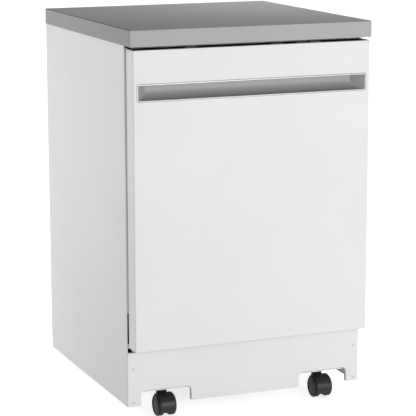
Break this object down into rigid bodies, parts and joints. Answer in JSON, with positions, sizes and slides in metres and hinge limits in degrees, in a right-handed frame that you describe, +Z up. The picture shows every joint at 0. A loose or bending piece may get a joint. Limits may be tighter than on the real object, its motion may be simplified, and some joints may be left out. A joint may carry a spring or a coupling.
{
  "type": "portable dishwasher",
  "caption": "Free-standing rolling dishwasher: white steel cabinet, grey worktop, drop-down door with a recessed full-width handle, tub with racks and spray arms, swivel casters.",
  "frame": {"origin": "on the floor, under the middle of the cabinet's box", "axes": "+Z up, -Y towards the door, +X to the right seen from the front"},
  "size_m": [0.61, 0.647, 0.931],
  "materials": {
    "white_steel": "satin enamel",
    "worktop_laminate": "matt laminate on board",
    "zinc_steel": "zinc plated",
    "stainless": "brushed",
    "black_plastic": "moulded satin",
    "grey_plastic": "moulded satin",
    "cream_plastic": "moulded satin",
    "silver_plastic": "metallic lacquer",
    "black_rubber": "matt",
    "rack_coating": "nylon coated wire",
    "heater_sheath": "heat darkened"
  },
  "bodies": {
    "cabinet": {"worktop": "worktop_laminate", "left_side_panel": "white_steel", "right_side_panel": "white_steel", "rear_panel": "white_steel", "cord_gland": "black_plastic", "hose_grommet": "black_plastic", "kick_plate": "white_steel", "kick_screw_left_lower": "white_steel", "kick_screw_left_upper": "white_steel", "kick_screw_right_lower": "white_steel", "kick_screw_right_upper": "white_steel", "base_frame": "zinc_steel", "tub": "stainless", "tub_gasket": "black_rubber", "latch_strike": "zinc_steel", "left_upper_rail": "stainless", "right_upper_rail": "stainless", "left_hinge_bracket": "zinc_steel", "right_hinge_bracket": "zinc_steel", "left_door_spring": "zinc_steel", "right_door_spring": "zinc_steel", "sump_housing": "grey_plastic", "circulation_pump": "black_plastic", "drain_pump": "black_plastic", "heating_element": "heater_sheath", "inlet_valve": "cream_plastic"},
    "door": {"door_outer_panel": "white_steel", "door_inner_panel": "stainless", "handle_pocket": "silver_plastic", "control_console": "black_plastic", "left_hinge_arm": "zinc_steel", "right_hinge_arm": "zinc_steel", "detergent_dispenser": "grey_plastic"},
    "start_button": {"start_button": "grey_plastic"},
    "cycle_button": {"cycle_button": "grey_plastic"},
    "option_button": {"option_button": "grey_plastic"},
    "power_button": {"power_button": "grey_plastic"},
    "latch_hook": {"latch_hook": "zinc_steel"},
    "dispenser_lid": {"dispenser_lid": "grey_plastic"},
    "rinse_aid_cap": {"rinse_aid_cap": "black_plastic"},
    "filter_cup": {"filter_cup": "grey_plastic"},
    "lower_spray_arm": {"lower_spray_arm": "grey_plastic"},
    "lower_rack": {"lower_rack": "rack_coating"},
    "cutlery_basket": {"cutlery_basket": "grey_plastic"},
    "upper_rack": {"upper_rack": "rack_coating", "upper_feed_tube": "grey_plastic"},
    "upper_spray_arm": {"upper_spray_arm": "grey_plastic"},
    "caster_front_left": {"caster_hood_front_left": "black_plastic"},
    "caster_front_right": {"caster_hood_front_right": "black_plastic"},
    "caster_rear_left": {"caster_hood_rear_left": "black_plastic"},
    "caster_rear_right": {"caster_hood_rear_right": "black_plastic"},
    "wheel_front_left_left": {"caster_wheel_front_left_left": "black_plastic"},
    "wheel_front_left_right": {"caster_wheel_front_left_right": "black_plastic"},
    "wheel_front_right_left": {"caster_wheel_front_right_left": "black_plastic"},
    "wheel_front_right_right": {"caster_wheel_front_right_right": "black_plastic"},
    "wheel_rear_left_left": {"caster_wheel_rear_left_left": "black_plastic"},
    "wheel_rear_left_right": {"caster_wheel_rear_left_right": "black_plastic"},
    "wheel_rear_right_left": {"caster_wheel_rear_right_left": "black_plastic"},
    "wheel_rear_right_right": {"caster_wheel_rear_right_right": "black_plastic"}
  },
  "joints": [
    {"name": "door_hinge", "type": "hinge", "parent": "cabinet", "child": "door", "pos_m": [0, -0.271, 0.172], "axis": [1, 0, 0], "range_deg": [0, 90], "deforming": ["left_door_spring", "right_door_spring"]},
    {"name": "start_button_press", "type": "slide", "parent": "door", "child": "start_button", "axis": [0, 0, -1], "range_m": [0, 0.0012], "stiffness_N_per_m": 150},
    {"name": "cycle_button_press", "type": "slide", "parent": "door", "child": "cycle_button", "axis": [0, 0, -1], "range_m": [0, 0.0012], "stiffness_N_per_m": 150},
    {"name": "option_button_press", "type": "slide", "parent": "door", "child": "option_button", "axis": [0, 0, -1], "range_m": [0, 0.0012], "stiffness_N_per_m": 150},
    {"name": "power_button_press", "type": "slide", "parent": "door", "child": "power_button", "axis": [0, 0, -1], "range_m": [0, 0.0012], "stiffness_N_per_m": 150},
    {"name": "latch_release", "type": "hinge", "parent": "door", "child": "latch_hook", "pos_m": [0, -0.29, 0.875], "axis": [1, 0, 0], "range_deg": [0, 8], "stiffness_Nm_per_rad": 0.1},
    {"name": "dispenser_lid_hinge", "type": "hinge", "parent": "door", "child": "dispenser_lid", "pos_m": [-0.03, -0.2722, 0.435], "axis": [-1, 0, 0], "range_deg": [0, 95]},
    {"name": "rinse_aid_cap_turn", "type": "hinge", "parent": "door", "child": "rinse_aid_cap", "pos_m": [0.042, -0.2722, 0.465], "axis": [0, 1, 0], "range_deg": [0, 90]},
    {"name": "filter_cup_turn", "type": "hinge", "parent": "cabinet", "child": "filter_cup", "pos_m": [0.056, 0.006, 0.17], "axis": [0, 0, 1], "range_deg": [0, 90]},
    {"name": "lower_spray_arm_spin", "type": "hinge", "parent": "cabinet", "child": "lower_spray_arm", "pos_m": [0, 0.006, 0.2], "axis": [0, 0, 1], "continuous": true},
    {"name": "lower_rack_slide", "type": "slide", "parent": "cabinet", "child": "lower_rack", "axis": [0, -1, 0], "range_m": [0, 0.02]},
    {"name": "cutlery_basket_lift", "type": "slide", "parent": "lower_rack", "child": "cutlery_basket", "axis": [0, 0, 1], "range_m": [0, 0.04]},
    {"name": "upper_rack_slide", "type": "slide", "parent": "cabinet", "child": "upper_rack", "axis": [0, -1, 0], "range_m": [0, 0.02]},
    {"name": "upper_spray_arm_spin", "type": "hinge", "parent": "upper_rack", "child": "upper_spray_arm", "pos_m": [0, 0.006, 0.51], "axis": [0, 0, 1], "continuous": true},
    {"name": "swivel_front_left", "type": "hinge", "parent": "cabinet", "child": "caster_front_left", "pos_m": [-0.206, -0.24, 0.06], "axis": [0, 0, 1], "continuous": true},
    {"name": "swivel_front_right", "type": "hinge", "parent": "cabinet", "child": "caster_front_right", "pos_m": [0.206, -0.24, 0.06], "axis": [0, 0, 1], "continuous": true},
    {"name": "swivel_rear_left", "type": "hinge", "parent": "cabinet", "child": "caster_rear_left", "pos_m": [-0.206, 0.24, 0.06], "axis": [0, 0, 1], "continuous": true},
    {"name": "swivel_rear_right", "type": "hinge", "parent": "cabinet", "child": "caster_rear_right", "pos_m": [0.206, 0.24, 0.06], "axis": [0, 0, 1], "continuous": true},
    {"name": "roll_front_left_left", "type": "hinge", "parent": "caster_front_left", "child": "wheel_front_left_left", "pos_m": [-0.206, -0.26, 0.0265], "axis": [1, 0, 0], "continuous": true},
    {"name": "roll_front_left_right", "type": "hinge", "parent": "caster_front_left", "child": "wheel_front_left_right", "pos_m": [-0.206, -0.26, 0.0265], "axis": [1, 0, 0], "continuous": true},
    {"name": "roll_front_right_left", "type": "hinge", "parent": "caster_front_right", "child": "wheel_front_right_left", "pos_m": [0.206, -0.26, 0.0265], "axis": [1, 0, 0], "continuous": true},
    {"name": "roll_front_right_right", "type": "hinge", "parent": "caster_front_right", "child": "wheel_front_right_right", "pos_m": [0.206, -0.26, 0.0265], "axis": [1, 0, 0], "continuous": true},
    {"name": "roll_rear_left_left", "type": "hinge", "parent": "caster_rear_left", "child": "wheel_rear_left_left", "pos_m": [-0.206, 0.22, 0.0265], "axis": [1, 0, 0], "continuous": true},
    {"name": "roll_rear_left_right", "type": "hinge", "parent": "caster_rear_left", "child": "wheel_rear_left_right", "pos_m": [-0.206, 0.22, 0.0265], "axis": [1, 0, 0], "continuous": true},
    {"name": "roll_rear_right_left", "type": "hinge", "parent": "caster_rear_right", "child": "wheel_rear_right_left", "pos_m": [0.206, 0.22, 0.0265], "axis": [1, 0, 0], "continuous": true},
    {"name": "roll_rear_right_right", "type": "hinge", "parent": "caster_rear_right", "child": "wheel_rear_right_right", "pos_m": [0.206, 0.22, 0.0265], "axis": [1, 0, 0], "continuous": true}
  ]
}
